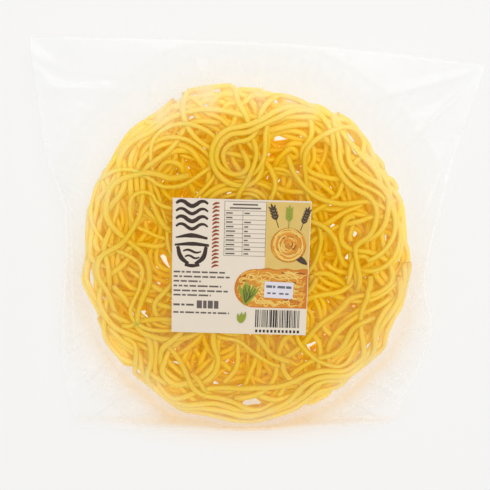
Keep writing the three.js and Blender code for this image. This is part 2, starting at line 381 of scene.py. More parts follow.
# %% A bundle of noodles
WALK_LENGTHS = (280, 520)
STRANDS_TOGETHER = [1, 2, 3, 4, 5]
HOW_OFTEN = [0.28, 0.34, 0.20, 0.12, 0.06]
MOST_IN_A_CURL = 2
SIDE_BY_SIDE = 2 * NOODLE_RADIUS * 1.08
FIRST_SHARES, LAST_SHARES = (0, 0.15), (0.85, 1)  # where on the walk a strand starts and ends
WITHIN_RIM = 0.995  # the share of the way to the rim that a strand's middle keeps within
# How much the gaps in a bundle widen, how far a strand strays from it in millimetres before it
# comes back, and how much it rises and sinks, each with the lengths of its waves.
SPREAD, SPREAD_LENGTHS = 0.2, (120, 260)
MOST_STRAY, STRAY_LENGTHS = 14.0, (140, 360)
SWAY, SWAY_LENGTHS = 0.05, (70, 160)
LEVEL_ERROR = 0.01


def slow_wave(gone, lengths):
    """A wave along a strand, with a random length and start."""
    return np.sin(2 * np.pi * gone / random.uniform(*lengths) + random.uniform(*ANY_TURN))


def bundle(kind, level):
    """The strands of one bundle: each is an array of points (x, y, z)."""
    line = walk(kind, random.uniform(*WALK_LENGTHS))
    count = random.choice(STRANDS_TOGETHER, p=HOW_OFTEN)
    if kind == "curl":
        count = min(count, MOST_IN_A_CURL)
    left = np.column_stack([-np.sin(line[:, 2]), np.cos(line[:, 2])])
    gone = np.arange(len(line)) * STEP
    strands = []
    for number in range(count):
        spread = 1 + SPREAD * slow_wave(gone, SPREAD_LENGTHS)
        aside = (number - (count - 1) / 2) * SIDE_BY_SIDE * spread
        stray = slow_wave(gone, STRAY_LENGTHS)
        aside += random.uniform(-MOST_STRAY, MOST_STRAY) * stray**4
        first, last = (int(random.uniform(*share) * len(line)) for share in (FIRST_SHARES, LAST_SHARES))
        plan = (line[:, :2] + left * aside[:, None])[first:last]
        plan /= np.maximum(rim_share(*plan.T) / WITHIN_RIM, 1)[:, None]
        sway = SWAY * slow_wave(gone[first:last], SWAY_LENGTHS)
        low, high = noodle_levels(*plan.T)
        strand_level = np.clip(level + sway + random.normal(0, LEVEL_ERROR), 0, 1)
        strands.append(np.column_stack([plan, low + (high - low) * strand_level]))
    return strands


# %% [markdown]
# A heap of random walks is too full in some places and empty in others. The cook spreads the
# noodles by hand. Here each bundle is drawn sixteen times, and the draw that falls where the
# noodles are thinnest is kept. A coarse map of the cake, five levels deep, counts what is there.

# %% Spread the bundles through the cake
TOTAL_LENGTH = 41500.0  # of noodle, in millimetres
DRAWS = 16
MAP_CELL = 6.0
MAP_HALF = 114.0
MAP_SIZE = int(2 * MAP_HALF / MAP_CELL)
MAP_LEVELS = 5
LEAST_DEPTH = 15.0  # of the cake in these sums, so that its thin rim doesn't count as too full
OWN_WEIGHT = 0.1  # how much it counts that a bundle crosses its own way
GOLDEN_SHARE = (math.sqrt(5) - 1) / 2  # spreads the bundles' levels evenly
FACE_PULL = 0.6  # how much the levels crowd towards the cake's two faces


def crowding(strands, level, counted):
    """How crowded a bundle's way is, and the map's cells that it crosses."""
    points = np.concatenate(strands)
    across, along = ((points[:, :2] + MAP_HALF) / MAP_CELL).astype(int).T
    layer = min(int(level * MAP_LEVELS), MAP_LEVELS - 1)
    low, high = noodle_levels(points[:, 0], points[:, 1])
    per_depth = MAP_CELL**2 / np.maximum(high - low, LEAST_DEPTH)
    here = (counted[across, along, layer] * per_depth).mean()
    in_all = (counted[across, along].sum(1) * per_depth).mean() / MAP_LEVELS
    own = np.bincount(across * MAP_SIZE + along)
    return here + in_all + OWN_WEIGHT * (own**2).sum() / len(points), (across, along, layer)


def spread_bundles():
    """All strands of the nest, bundle by bundle, and the level of each."""
    counted = np.zeros((MAP_SIZE, MAP_SIZE, MAP_LEVELS))
    strands, levels, length, number = [], [], 0, 0
    while length < TOTAL_LENGTH:
        even = (number * GOLDEN_SHARE) % 1
        level = 0.5 - math.cos(math.pi * even) / 2 * FACE_PULL + (even - 0.5) * (1 - FACE_PULL)
        drawn = [bundle(LAID[number % len(LAID)], level) for _ in range(DRAWS)]
        measured = [crowding(strand, level, counted) for strand in drawn]
        best = min(range(DRAWS), key=lambda i: measured[i][0])
        np.add.at(counted, measured[best][1], 1)
        strands += drawn[best]
        levels += [level] * len(drawn[best])
        length += sum(len(strand) for strand in drawn[best]) * STEP
        number += 1
    return strands, levels


strands, levels = spread_bundles()
print(len(strands), "strands,", sum(map(len, strands)), "points")

# %% [markdown]
# The strands still run through each other. A rigid-body simulation could settle them, but it would
# take hours. Instead, points of different strands that are nearer than a noodle's thickness push
# each other apart, again and again. Each strand's pushes are smoothed along it, so it bends
# gently round its neighbours and keeps its own curves.

# %% Find the points that are too near
strand_of = np.repeat(np.arange(len(strands)), [len(strand) for strand in strands])
place_in = np.concatenate([np.arange(len(strand)) for strand in strands])
AHEAD = [(i, j, k) for i in (-1, 0, 1) for j in (-1, 0, 1) for k in (-1, 0, 1) if (i, j, k) >= (0, 0, 0)]
OWN_STEPS = 4  # along a strand, within which it doesn't push itself


def near_pairs(points, reach):
    """The index pairs of points nearer than reach, found by sorting them into cells of that size."""
    cells = np.floor(points / reach).astype(np.int64)
    cells -= cells.min(0) - 1
    counts = cells.max(0) + 2
    keys = (cells[:, 0] * counts[1] + cells[:, 1]) * counts[2] + cells[:, 2]
    ranked = np.argsort(keys, kind="stable")
    firsts, seconds = [], []
    for i, j, k in AHEAD:
        wanted = keys + (i * counts[1] + j) * counts[2] + k
        start = np.searchsorted(keys[ranked], wanted, "left")
        found = np.searchsorted(keys[ranked], wanted, "right") - start
        first = np.repeat(np.arange(len(points)), found)
        offset = np.repeat(start - np.cumsum(found) + found, found)
        second = ranked[offset + np.arange(len(first))]
        keep = (first < second) if (i, j, k) == (0, 0, 0) else np.full(len(first), True)
        firsts.append(first[keep])
        seconds.append(second[keep])
    first, second = np.concatenate(firsts), np.concatenate(seconds)
    apart = points[second] - points[first]
    steps = np.abs(place_in[first] - place_in[second])
    far_along = (strand_of[first] != strand_of[second]) | (steps > OWN_STEPS)
    keep = far_along & ((apart**2).sum(1) < reach**2)
    return first[keep], second[keep]


# %% Push them apart
ROUNDS = 90
ROUNDS_PER_SEARCH = 4
SEARCH_SLACK = 0.9  # millimetres beyond touching, for pairs that may touch before the next search
WANTED_GAP = 2 * NOODLE_RADIUS * 1.02
PUSH = 1.2  # times the overlap that a pair has
SLIP = 0.85  # how much of a push between crossing strands goes up and down
SMOOTHINGS = 2
RIM_LIMITS = (0.967, 1.011)  # each strand keeps inside its own share of the way to the rim
rim_limit = random.uniform(*RIM_LIMITS, len(strands))[strand_of]
same_before = np.r_[False, strand_of[1:] == strand_of[:-1]][:, None]
same_after = np.r_[strand_of[1:] == strand_of[:-1], False][:, None]


def neighbours(values):
    """The values at the points before and after each point on its strand."""
    before = np.where(same_before, np.roll(values, 1, 0), values)
    after = np.where(same_after, np.roll(values, -1, 0), values)
    return before, after


def smoothed(moves, times):
    """Moves evened out along each strand."""
    for _ in range(times):
        before, after = neighbours(moves)
        moves = moves / 2 + (before + after) / 4
    return moves


def settle(home):
    """The points after all rounds of pushing, kept inside the cake."""
    points = home.copy()
    for turn in range(ROUNDS):
        if turn % ROUNDS_PER_SEARCH == 0:
            first, second = near_pairs(points, WANTED_GAP + SEARCH_SLACK)
            before, after = neighbours(points)
            ways = (after - before) / (np.linalg.norm(after - before, axis=1)[:, None] + 1e-6)
            crossing = SLIP * (1 - np.abs((ways[first] * ways[second]).sum(1)))
            upward = np.where(home[second, 2] > home[first, 2], crossing, -crossing)
        apart = points[second] - points[first]
        distance = np.sqrt((apart**2).sum(1)) + 1e-6
        lap = np.clip(WANTED_GAP - distance, 0, None)
        way = apart / distance[:, None] * (1 - crossing)[:, None]
        way[:, 2] += upward
        push = way * (lap / 2)[:, None]
        touching = lap > 0
        contacts = np.bincount(first[touching], minlength=len(points))
        contacts += np.bincount(second[touching], minlength=len(points))
        sums = [np.bincount(second, p, len(points)) - np.bincount(first, p, len(points)) for p in push.T]
        points = points + PUSH * np.column_stack(sums) / np.sqrt(np.maximum(contacts, 1))[:, None]
        points = home + smoothed(points - home, SMOOTHINGS)
        points[:, :2] /= np.maximum(rim_share(*points.T[:2]) / rim_limit, 1)[:, None]
        points[:, 2] = np.clip(points[:, 2], *noodle_levels(*points.T[:2]))
    print("touching pairs overlap by", round(float(lap[touching].mean()), 2), "mm on average")
    return points


settled = settle(np.concatenate(strands))

# %% [markdown]
# Now each strand gets its thickness. A curve object does that best: its bevel sweeps a round
# section along the points, and a radius at every point lets the noodle swell and thin. The curve
# is then made a mesh. A mesh may have 200,000 triangles, so the nest is three pieces by level.
# Four values go with every vertex for the material: the strand's own tone, the depth below the
# nest's surface, how near the rim is, and how near a cut end is.

# %% Strands with thickness as three meshes
SIDES = 10
BEVEL_RESOLUTION = (SIDES - 4) // 2
THIN_SHARE, THIN_SIZE = 0.12, 0.72  # the share of thin strands, and how thin they are
OTHER_SIZES = (0.84, 1.06)  # of the other strands
SWELLS, SWELL_LENGTHS = (0.06, 0.04), (7.3, 3.1)  # how a strand swells and thins along its length
KINK = 0.22  # how far a strand wavers over short stretches, in millimetres
KINKS = ((2.9, 1), (3.7, 2), (4.6, 3))  # length of the wavering along x, y and z, and its turn
# painted light: from RIM_FROM out the strands are painted paler and glow a little, standing for light
# through the thinning rim; FAR_RIM makes that stronger at the far rim, where the key lamp is
RIM_FROM = 0.6  # the share of the way to the rim from which the nest gets thinner and paler
FAR_RIM = 0.9  # how much paler the far rim is, where the key lamp shines through it
BROWNED_LENGTH = 4.0  # from a cut end
NEST_PIECES = {"noodles_lower": (0, 0.34), "noodles_middle": (0.34, 0.67), "noodles_face": (0.67, 1.01)}
strand_size = np.where(
    random.random(len(strands)) < THIN_SHARE, THIN_SIZE, random.uniform(*OTHER_SIZES, len(strands))
)
strand_tone = random.random(len(strands))
strand_phase = random.uniform(0, 2 * np.pi, (len(strands), 2))


def point_values(number):
    """A strand's points, with the radius, depth, rim share and end share of each."""
    points = settled[strand_of == number]
    gone = np.arange(len(points)) * STEP
    early, late = strand_phase[number]
    swell = 1 + SWELLS[0] * np.sin(gone / SWELL_LENGTHS[0] + early)
    swell += SWELLS[1] * np.sin(gone / SWELL_LENGTHS[1] + late)
    wavering = [np.sin(gone / length + early * turn + late) for length, turn in KINKS]
    points = points + KINK * np.column_stack(wavering)
    low, high = noodle_levels(points[:, 0], points[:, 1])
    depth = np.minimum(high - points[:, 2], points[:, 2] - low) / REACH_Z
    # the rim value carries painted light: it grows towards the rim and almost doubles at the far rim, where
    # the key lamp shines through
    rim = np.clip((rim_share(points[:, 0], points[:, 1]) - RIM_FROM) / (1 - RIM_FROM), 0, 1) ** 2
    rim *= 1 + FAR_RIM * np.clip(np.sin(np.arctan2(points[:, 1], points[:, 0])), 0, 1) ** 2
    from_end = np.minimum(gone, gone[::-1])
    end = np.clip(1 - from_end / BROWNED_LENGTH, 0, 1)
    return points, NOODLE_RADIUS * strand_size[number] * swell, depth, rim, end


def close_ends(mesh):
    """Fills the open ring at each cut end."""
    shape = bmesh.new()
    shape.from_mesh(mesh)
    open_edges = [edge for edge in shape.edges if edge.is_boundary]
    bmesh.ops.holes_fill(shape, edges=open_edges, sides=SIDES)
    shape.to_mesh(mesh)
    shape.free()


def noodle_mesh(name, numbers):
    """The strands with these numbers as one mesh with its four values."""
    curve = bevelled_curve(name, BEVEL_RESOLUTION)
    values = {"tone": [], "depth": [], "rim": [], "end": []}
    for number in numbers:
        points, radii, *others = point_values(number)
        spline = curve.splines.new("POLY")
        spline.points.add(len(points) - 1)
        spline.points.foreach_set("co", np.column_stack([points, np.ones(len(points))]).ravel())
        spline.points.foreach_set("radius", radii)
        for parts, part in zip(values.values(), [np.full(len(points), strand_tone[number]), *others]):
            parts.append(part)
    mesh = mesh_of_curve(curve)
    for value, parts in values.items():
        write_value(mesh, value, np.repeat(np.concatenate(parts), SIDES))
    close_ends(mesh)
    return mesh


# %% [markdown]
# ### Fried egg noodle dough
# Wheat dough with egg, steamed and then fried, is a warm even yellow. It is slightly see-through,
# so light soaks in and comes out again, which rounds off the shading. Frying leaves a thin film
# of oil, so it has a soft sheen, and tiny blisters roughen it. The strands differ a little in
# colour. The ones deep in the nest catch only light that has bounced off other noodles, and that
# takes more bounces than a render follows. A faint glow that grows with depth stands for it, and
# the deep strands are painted a deeper golden, the tint of that light. Towards the rim the strands
# are painted paler and glow a little more, most at the far rim: painted light for the key lamp
# shining through the thin rim.

# %% Material of the noodles
PATCH_SIZE, BLISTER_SIZE = 18.0, 1.2  # of the uneven colour and of the roughness, in millimetres
# glows that stand for light, though the noodles are no lamp: bounced light at the faces and in the depths,
# and the key lamp shining through at the rim
FACE_GLOW, DEEP_GLOW, RIM_GLOW = 0.05, 0.115, 0.045
GLOW_DEPTHS = (0.02, 0.45)  # the depths between which the glow grows
TINTS = [  # the value that each follows, how it blends, and its colour
    ("tone", "MIX", "EAC842"),
    ("patches", "MULTIPLY", "FFFAEC"),
    # painted light: deeper strands are painted a deeper golden, the tint of light that came through other
    # noodles
    ("depth", "MIX", "EDC30C"),
    # painted light: paler towards the rim, most at the far rim, where the key lamp shines through
    ("rim", "MIX", "F6DC74"),
    ("browned", "MIX", "E0A53A"),
]


def noodle_material():
    """Dough that lets light soak in, with a tint for each of the four values and for patches."""
    material, tree, shader = start_material(
        "fried_egg_noodle_dough",
        Roughness=0.45,
        IOR=1.45,
        Specular_IOR_Level=0.2,
        Subsurface_Weight=0.8,
        Subsurface_Radius=(1.0, 0.7, 0.25),
        Subsurface_Scale=0.0024,
        Coat_Weight=0.05,
        Coat_Roughness=0.25,
        Emission_Color=linear("FFDE0A"),
    )
    shares = {name: value_of(tree, name) for name in ("tone", "depth", "rim", "end")}
    shares["patches"] = noise(tree, PATCH_SIZE, 3.0)
    shares["browned"] = calculate(tree, "MULTIPLY", shares["end"], 0.5)
    colour = linear("E6C02A")
    for share, blend, tint in TINTS:
        colour = mix(tree, shares[share], colour, linear(tint), blend)
    tree.links.new(colour, shader.inputs["Base Color"])
    # painted light: the glow grows with depth for light bounced between noodles, and with the rim value for
    # the key lamp shining through the rim
    glow = rescale(tree, shares["depth"], *GLOW_DEPTHS, FACE_GLOW, DEEP_GLOW)
    glow = calculate(tree, "MULTIPLY_ADD", shares["rim"], RIM_GLOW, glow)
    tree.links.new(glow, shader.inputs["Emission Strength"])
    roughen(tree, shader, noise(tree, BLISTER_SIZE, 2.0), strength=0.25, distance=0.0002)
    return material


# %% The nest's three pieces
dough = noodle_material()
mean_level = np.array(levels)
for name, (lowest, highest) in NEST_PIECES.items():
    numbers = np.flatnonzero((mean_level >= lowest) & (mean_level < highest))
    finish_piece(name, noodle_mesh(name, numbers), dough, "noodle_nest")


# %% [markdown]
# ## The label
# The label is a square of white paper, stuck to the film on top of the nest. The noodles push it
# up a little here and there, so it is a thin slab on a low wave. A grid with Blender's Solidify
# would do. Here the grid is extruded by bmesh, because the print must follow the same wave, and
# one function then bends both.

# %% Where the paper lies
LABEL_MIDDLE = (LABEL_X, LABEL_Y)
LABEL_SIZE = (80.0, 81.0)
LABEL_TURN = -0.027
PAPER_THICKNESS = 0.25
PAPER_WAVE = 0.5
PAPER_WAVE_LENGTH = 62.0
LABEL_BASE = (label_low.z - nest_middle.z) / MM + 0.12
print("the paper lies", round(LABEL_BASE, 2), "mm above the nest's middle")


def paper_height(x, y):
    """How high the paper's underside is at a place."""
    across = np.cos(2 * np.pi * x / PAPER_WAVE_LENGTH + 1)
    along = np.cos(2 * np.pi * y / PAPER_WAVE_LENGTH)
    return LABEL_BASE + PAPER_WAVE * (2 + across + along) / 4


def lay_on_paper(mesh, middle, turn, lift):
    """Turns a flat mesh, moves it to its middle and bends it with the paper's wave."""
    x, y, z = read_points(mesh).T
    turned_x = middle[0] + x * math.cos(turn) - y * math.sin(turn)
    turned_y = middle[1] + x * math.sin(turn) + y * math.cos(turn)
    height = paper_height(turned_x, turned_y) + lift + z
    write_points(mesh, np.column_stack([turned_x, turned_y, height]))


# %% A sheet of paper
PAPER_CELLS = (40, 40)  # enough to follow the wave


def thicken(shape, faces, thickness):
    """Makes a closed slab of flat faces."""
    raised = bmesh.ops.extrude_face_region(shape, geom=faces, use_keep_orig=True)
    top = [part for part in raised["geom"] if isinstance(part, bmesh.types.BMVert)]
    bmesh.ops.translate(shape, vec=(0, 0, thickness), verts=top)


def slab(shape, width, length, thickness, cells, x=0.0, y=0.0):
    """Adds a thin slab with its middle at x, y and its underside at height 0."""
    grid = bmesh.ops.create_grid(shape, x_segments=cells[0], y_segments=cells[1], size=0.5)
    bmesh.ops.scale(shape, vec=(width, length, 1), verts=grid["verts"])
    bmesh.ops.translate(shape, vec=(x, y, 0), verts=grid["verts"])
    thicken(shape, list({face for vertex in grid["verts"] for face in vertex.link_faces}), thickness)


def paper_sheet(name, size, thickness, middle, turn, lift):
    """A rectangular sheet of paper that lies on the wave, lifted off it where it lies on another."""
    shape = bmesh.new()
    slab(shape, *size, thickness, PAPER_CELLS)
    mesh = mesh_from(shape, name)
    lay_on_paper(mesh, middle, turn, lift)
    return mesh


# %% [markdown]
# ### Coated label paper
# The paper is bright white stock with a thin coating, printed and cut with sharp edges. Under warm
# light it looks a little creamy. It has almost no grain, only a faint mottle and a soft gloss.

# %% Material of the papers
MOTTLE_SIZE = 6.0  # in millimetres
FIBRE_SIZE = 0.9  # real fibres are a tenth of this, too fine to show, so they are drawn coarser


def paper_material(name, colour, mottle):
    """Paper or ink with a faint mottle and fibres."""
    material, tree, shader = start_material(name, Roughness=0.5, IOR=1.45)
    tint = mix(tree, noise(tree, MOTTLE_SIZE, 4.0), linear(colour), linear(mottle))
    tree.links.new(tint, shader.inputs["Base Color"])
    roughen(tree, shader, noise(tree, FIBRE_SIZE, 3.0), strength=0.1, distance=0.0001)
    return material


# %% The label's paper
label_paper = paper_material("coated_label_paper", "E6D7C2", "E9DCC9")
label_mesh = paper_sheet("label_sheet", LABEL_SIZE, PAPER_THICKNESS, LABEL_MIDDLE, LABEL_TURN, 0)
finish_piece("label_sheet", label_mesh, label_paper, "label", smooth=False)

# %% [markdown]
# ### The print
# The print is a generic design in the inks and at the scale of such a label: brushed waves and a
# bowl, a column of strokes, a ruled table, rows of dashes, bars of random width, and a picture. It
# could be an image on the paper, but shapes stay sharp at any distance and need no file. So each
# ink is one piece, made of thin shapes a hair above the paper. Places are in millimetres from the
# label's middle.

# %% Helpers for print
INK_THICKNESS = 0.05
INK_LIFT = PAPER_THICKNESS + 0.02
LAYER_LIFT = INK_THICKNESS + 0.02  # each ink that lies on another is this much higher
INK_CELL = 6.0  # the length of a mark's faces, short enough to follow the paper's wave
INK_MOTTLE = 0.93  # how bright an ink's darker patches are
ink = random.spawn(1)[0]


def box_mark(shape, x, y, width, length):
    """A rectangle with its lower left corner at x, y."""
    cells = (max(1, round(width / INK_CELL)), max(1, round(length / INK_CELL)))
    slab(shape, width, length, INK_THICKNESS, cells, x + width / 2, y + length / 2)


def finish_ink(name, shape, colour, layer=0):
    """Lays an ink's shapes on the label as one piece."""
    mesh = mesh_from(shape, name)
    lay_on_paper(mesh, LABEL_MIDDLE, LABEL_TURN, INK_LIFT + layer * LAYER_LIFT)
    darker = "%02X%02X%02X" % tuple(int(int(colour[i : i + 2], 16) * INK_MOTTLE) for i in (0, 2, 4))
    material = paper_material("printing_ink_" + name, colour, darker)
    finish_piece(name, mesh, material, "label", smooth=False)


# %% Brush strokes
def brush_strokes(strokes):
    """Strokes of a brush as ribbons. Each is a list of points (x, y, half width)."""
    curve = bevelled_curve("stroke", 0)
    curve.use_fill_caps = True
    curve.resolution_u = 5
    for stroke in strokes:
        spline = curve.splines.new("BEZIER")
        spline.bezier_points.add(len(stroke) - 1)
        for point, (x, y, half_width) in zip(spline.bezier_points, stroke):
            point.co = (x, y, 0)
            point.radius = half_width
            point.handle_left_type = "AUTO"
            point.handle_right_type = "AUTO"
    return mesh_of_curve(curve)


def print_strokes(name, strokes, colour, layer=0):
    """Brush strokes as one ink, pressed flat to the thickness of ink."""
    mesh = brush_strokes(strokes)
    points = read_points(mesh)
    points[:, 2] = INK_THICKNESS / 2 * (1 + np.sign(np.round(points[:, 2], 3)))
    write_points(mesh, points)
    shape = bmesh.new()
    shape.from_mesh(mesh)
    bmesh.ops.remove_doubles(shape, verts=shape.verts, dist=1e-4)
    finish_ink(name, shape, colour, layer)


# %% Brushed waves and a bowl
WAVE_LEFT, WAVE_TOP, WAVE_PITCH, WAVE_COUNT = -38, 37.4, 4.5, 4
BOWL = [  # its lid's two lines, its two sides and its foot
    [(-38, 17.2, 0.4), (-29, 18.6, 1.4), (-19.5, 17.0, 0.7)],
    [(-38.6, 12.8, 0.6), (-28.5, 13.6, 1.2), (-18.6, 12.8, 0.8)],
    [(-36.8, 12, 1.0), (-34.8, 5.4, 1.4), (-30.5, 1.6, 0.9)],
    [(-20.2, 12, 1.0), (-22, 5.4, 1.4), (-26.5, 1.6, 0.9)],
    [(-32.6, 1.0, 0.8), (-28.5, 0.5, 1.1), (-24, 1.0, 0.8)],
]


def wave_stroke(x, y, length, height, half_width, waves=1.5):
    """A brushed wave that swells and tapers."""
    count = 9
    points = []
    for i in range(count):
        t = i / (count - 1)
        swell = half_width * (0.35 + 0.65 * math.sin(math.pi * (0.12 + 0.8 * t)))
        points.append((x + length * t, y + height * math.sin(2 * math.pi * waves * t), swell))
    return points


motif = [
    wave_stroke(WAVE_LEFT, WAVE_TOP - WAVE_PITCH * i, 18.5, 1.5, 1.25 - 0.2 * (i % 2))
    for i in range(WAVE_COUNT)
]
motif += BOWL
motif.append(wave_stroke(-33.6, 9.2, 10.5, 0.8, 0.75, 1.0))
motif.append(wave_stroke(-32.6, 5.8, 8.5, 0.8, 0.7, 1.0))
print_strokes("print_brown", motif, "362014")

# %% A column of strokes
COLUMN_TOP, COLUMN_PITCH, COLUMN_COUNT = 37.6, 2.32, 17
column = []
for i in range(COLUMN_COUNT):
    y = COLUMN_TOP - COLUMN_PITCH * i
    tall = 0.8 + 0.5 * (i % 3)
    column.append([(-16.9, y - 0.7, 0.35), (-15.0, y + 0.4 * tall, 0.72), (-12.9, y + 0.5, 0.35)])
print_strokes("print_orange", column, "9C440C")

# %% A ruled table
TABLE_LEFT, TABLE_BOTTOM, TABLE_WIDTH, TABLE_LENGTH = -10.0, 7.1, 24.0, 32.1
HEADER, TABLE_ROWS = 5.4, 10
FIRST_COLUMN = 0.44  # of the table's width
RULE = 0.22


def ruled_table(shape):
    """Rules round ten rows of two columns, with dashes in them and two lines in the header."""
    row = (TABLE_LENGTH - HEADER) / TABLE_ROWS
    top, split = TABLE_BOTTOM + TABLE_LENGTH, TABLE_LEFT + TABLE_WIDTH * FIRST_COLUMN
    for i in range(TABLE_ROWS + 1):
        box_mark(shape, TABLE_LEFT, TABLE_BOTTOM + i * row, TABLE_WIDTH, RULE)
    box_mark(shape, TABLE_LEFT, top, TABLE_WIDTH, RULE)
    box_mark(shape, TABLE_LEFT, TABLE_BOTTOM, RULE, TABLE_LENGTH)
    box_mark(shape, split, TABLE_BOTTOM, RULE, TABLE_LENGTH - HEADER)
    box_mark(shape, TABLE_LEFT + TABLE_WIDTH, TABLE_BOTTOM, RULE, TABLE_LENGTH)
    for i in range(TABLE_ROWS):
        y = TABLE_BOTTOM + (i + 0.35) * row
        box_mark(shape, TABLE_LEFT + 1, y, ink.uniform(2.5, 6.5), 0.8)
        if ink.random() < 0.8:
            box_mark(shape, split + 1, y, ink.uniform(2, 4), 0.8)
    for i, share in enumerate((0.6, 0.75)):
        width = TABLE_WIDTH * share
        box_mark(shape, TABLE_LEFT + (TABLE_WIDTH - width) / 2, top - 2.1 - 2.1 * i, width, 0.9)


grey = bmesh.new()
ruled_table(grey)

# %% Rows of dashes, and bars
TEXT_LEFT = -39
TEXT_ROWS = [(-3.8, 30), (-6.6, 33), (-9.4, 16), (-12.3, 28), (-15.2, 32), (-17.9, 22)]  # y, length
DASH_LENGTHS, DASH_GAP = (1.6, 6.0), 0.9
BLOCKS = [(-25.2, 3.1), (-21.4, 2.0), (-18.7, 3.0), (-15.0, 2.6)]  # x and width of large marks
BARS_LEFT, BARS_RIGHT, BARS_BOTTOM, BARS_LENGTH = 9.6, 36.0, -36.2, 10.8
BAR_WIDTHS, BAR_GAPS = [0.35, 0.35, 0.7, 1.05], [0.35, 0.5, 0.75]


def dash_row(shape, y, length, height):
    """A row of dashes of uneven length, as long as words."""
    x, end = TEXT_LEFT, TEXT_LEFT + length
    while x < end:
        dash = min(ink.uniform(*DASH_LENGTHS), end - x)
        box_mark(shape, x, y, dash, height)
        x += dash + DASH_GAP


for y, length in TEXT_ROWS:
    dash_row(grey, y, length, 1.0)
dash_row(grey, -24.0, 12.5, 1.2)
for x, width in BLOCKS:
    box_mark(grey, x, -25.4, width, 4.8)
dash_row(grey, -28.6, 33, 1.0)
finish_ink("print_grey", grey, "665C54")

black = bmesh.new()
bar_x = BARS_LEFT
while bar_x < BARS_RIGHT:
    bar = ink.choice(BAR_WIDTHS)
    box_mark(black, bar_x, BARS_BOTTOM, bar, BARS_LENGTH)
    bar_x += bar + ink.choice(BAR_GAPS)
for i in range(12):
    box_mark(black, 9.8 + 2.25 * i, -39.4, 1.3, 1.7)
finish_ink("print_black", black, "2B2622")

# %% [markdown]
# The picture is built up as a screen printer would: plain fields first, a coil and a heap, then
# strands over them in four inks, then leaves and ears of wheat. Each ink lies a layer above those
# that it crosses.

# %% The picture: its fields of colour
FIELD = (14.2, -0.8, 25.4, 40.4)  # left, bottom, width and length
SWIRL = (27.6, 14.2, 10.4)  # middle and radius of a coil
BAND = (-3.2, 39.6, -24.0, -0.6)  # left, right, bottom and top of a heap of waves


def polygon(shape, corners):
    """A flat field of ink with the given corners."""
    face = shape.faces.new([shape.verts.new((x, y, 0)) for x, y in corners])
    thicken(shape, [face], INK_THICKNESS)


def circle(x, y, radius, count=48):
    """The corners of a round field."""
    around = np.linspace(0, 2 * math.pi, count + 1)[:-1]
    return [(x + radius * math.cos(a), y + radius * math.sin(a)) for a in around]


def band_outline():
    """The heap's field: round at its left end, with a low wave along its top."""
    left, right, bottom, top = BAND
    middle, half = (bottom + top) / 2, (top - bottom) / 2
    turns = np.linspace(0, math.pi, 15)
    around = [(left + half - half * math.sin(a), middle + half * math.cos(a)) for a in turns]
    crest = [(x, top + 0.9 * math.sin(x / 3.4) ** 2) for x in np.linspace(right, left + half + 1, 24)]
    return [*crest, *around, (right, bottom)]


field = bmesh.new()
box_mark(field, *FIELD)
finish_ink("print_field", field, "E4C26A")
disc = bmesh.new()
polygon(disc, circle(*SWIRL))
finish_ink("print_disc", disc, "CE8620", layer=1)
band = bmesh.new()
polygon(band, band_outline())
finish_ink("print_band", band, "D67C14", layer=1)

# %% Strands over the fields
STRAND_INKS = [  # name, colour, how many, half width
    ("print_light_strands", "F0B440", 120, 0.62),
    ("print_dark_strands", "8F4A16", 45, 0.34),
    ("print_orange_strands", "E39424", 120, 0.56),
    ("print_pale_strands", "F6CE68", 80, 0.34),
]
BAND_MARGIN = 0.4  # that the strands leave free inside the heap's edge


def swirl_arcs(count, half_width):
    """Arcs that coil round the middle of the coil."""
    swirl_x, swirl_y, swirl_radius = SWIRL
    made = []
    for _ in range(count):
        radius = swirl_radius * math.sqrt(ink.uniform(0.02, 0.82))
        start, sweep = ink.uniform(0, 6.28), ink.uniform(0.7, 2.2)
        aside_x, aside_y = ink.uniform(-0.8, 0.8, 2)
        x, y = swirl_x + aside_x, swirl_y + aside_y
        angles = [start + sweep * i / 3 for i in range(4)]
        made.append([(x + radius * math.cos(a), y + radius * math.sin(a), half_width) for a in angles])
    return made


def band_waves(count, half_width):
    """Short waves at all slants that fill the heap."""
    left, right, bottom, top = BAND
    middle, half = (bottom + top) / 2, (top - bottom) / 2
    made = []
    while len(made) < count:
        x, y, slant = ink.uniform(left, right), ink.uniform(bottom, top), ink.uniform(-0.5, 0.5)
        length, height, turns = ink.uniform(6, 13), ink.uniform(0.5, 1.6), ink.uniform(0.6, 1.6)
        points = []
        for along, across, width in wave_stroke(-length / 2, 0, length, height, half_width, turns)[::2]:
            bent_x = x + along * math.cos(slant) - across * math.sin(slant)
            bent_y = y + along * math.sin(slant) + across * math.cos(slant)
            points.append((bent_x, bent_y, width))
        far = [math.hypot(min(px - left - half, 0), py - middle) for px, py, _ in points]
        if max(far) < half - BAND_MARGIN and all(px < right - BAND_MARGIN for px, _, _ in points):
            made.append(points)
    return made


for layer, (name, colour, count, half_width) in enumerate(STRAND_INKS, 2):
    lines = band_waves(count, half_width) + swirl_arcs(count // 4, half_width)
    print_strokes(name, lines, colour, layer)

# %% Leaves and ears of wheat
LEAF = ((0.0, 0.5), (0.35, 1.0), (0.7, 0.8), (1.0, 0.15))  # share of the length, share of the width
GRAIN = [(0.1, 0.1), (0.7, 0.34), (1.3, 0.3), (2.0, 0.05)]  # along a grain, half width
STEM_HALF_WIDTH = 0.22
GRAIN_SLANT = 0.6  # radians from the stem


def spray(x, y, count, length, way, spread, half_width):
    """Tapered strokes that fan out from one place, each a little wavy."""
    made = []
    for i in range(count):
        angle = way + spread * (i / max(count - 1, 1) - 0.5)
        reach = length * ink.uniform(0.75, 1.0)
        side = ink.uniform(-0.14, 0.14)
        points = []
        for share, width in LEAF:
            bent = angle + side * math.sin(share * 5)
            tip_x, tip_y = x + reach * share * math.cos(bent), y + reach * share * math.sin(bent)
            points.append((tip_x, tip_y, half_width * width))
        made.append(points)
    return made


